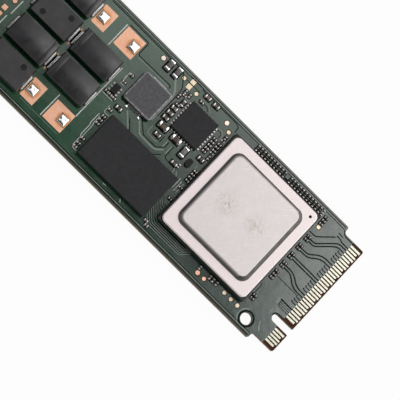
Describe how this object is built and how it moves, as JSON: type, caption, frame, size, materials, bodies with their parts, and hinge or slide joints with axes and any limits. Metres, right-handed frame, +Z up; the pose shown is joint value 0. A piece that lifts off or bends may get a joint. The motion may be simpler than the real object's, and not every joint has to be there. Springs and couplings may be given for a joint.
{
  "type": "solid-state drive card",
  "caption": "Long narrow solid-state drive card with a keyed edge connector, lidded controller, memory chips, power parts and moulded capacitors.",
  "frame": {"origin": "middle of the board's underside", "axes": "+X along the board towards the edge connector, +Y across it, +Z up from the component side"},
  "size_m": [0.11, 0.022, 0.0028],
  "materials": {
    "laminate": "glass fibre laminate, brown at its cut edges",
    "solder_mask": "satin dark green lacquer",
    "gold_plating": "thin gold over nickel",
    "bare_copper": "bare copper",
    "lid_metal": "matt nickel plating, finely brushed",
    "silicon": "ground silicon",
    "thermal_paste": "grey paste",
    "package_substrate": "dark green resin",
    "chip_mold": "black moulding, fine grain",
    "inductor_mold": "pressed dark grey powder",
    "capacitor_mold": "black moulding, satin",
    "chip_ceramic": "fired brown-grey ceramic",
    "tinned_metal": "tinned, bright",
    "solder": "bright solder"
  },
  "bodies": {
    "root": {"capacitor_lands": "bare_copper", "circuit_board": "laminate", "controller_die": "silicon", "controller_lid": "lid_metal", "controller_row_chip_bodies": "chip_ceramic", "controller_row_chip_end_caps": "solder", "controller_solder_balls": "solder", "controller_substrate": "package_substrate", "controller_thermal_paste": "thermal_paste", "copper_test_pads": "bare_copper", "dram_mold": "chip_mold", "dram_solder_balls": "solder", "dram_substrate": "package_substrate", "edge_contacts_bottom": "gold_plating", "edge_contacts_top": "gold_plating", "flash_1_mold": "chip_mold", "flash_1_solder_balls": "solder", "flash_1_substrate": "package_substrate", "flash_2_mold": "chip_mold", "flash_2_solder_balls": "solder", "flash_2_substrate": "package_substrate", "inductor_body": "inductor_mold", "inductor_terminals": "tinned_metal", "land_solder": "solder", "lane_capacitor_bodies": "chip_ceramic", "lane_capacitor_end_caps": "solder", "load_switch_body": "chip_mold", "load_switch_leads": "tinned_metal", "medium_chip_bodies": "chip_ceramic", "medium_chip_end_caps": "solder", "mounting_notch_pads": "gold_plating", "plated_test_pads": "gold_plating", "power_capacitor_bodies": "chip_ceramic", "power_capacitor_end_caps": "solder", "power_chip_leads": "tinned_metal", "power_chip_mold": "chip_mold", "power_chip_thermal_pad": "tinned_metal", "round_chip": "chip_mold", "small_chip_bodies": "chip_ceramic", "small_chip_end_caps": "solder", "solder_mask_top": "solder_mask", "tantalum_1_body": "capacitor_mold", "tantalum_1_terminals": "tinned_metal", "tantalum_2_body": "capacitor_mold", "tantalum_2_terminals": "tinned_metal", "tantalum_3_body": "capacitor_mold", "tantalum_3_terminals": "tinned_metal", "tantalum_4_body": "capacitor_mold", "tantalum_4_terminals": "tinned_metal", "tantalum_5_body": "capacitor_mold", "tantalum_5_terminals": "tinned_metal", "tantalum_6_body": "capacitor_mold", "tantalum_6_terminals": "tinned_metal", "tantalum_solder_fillets": "solder"}
  },
  "joints": []
}
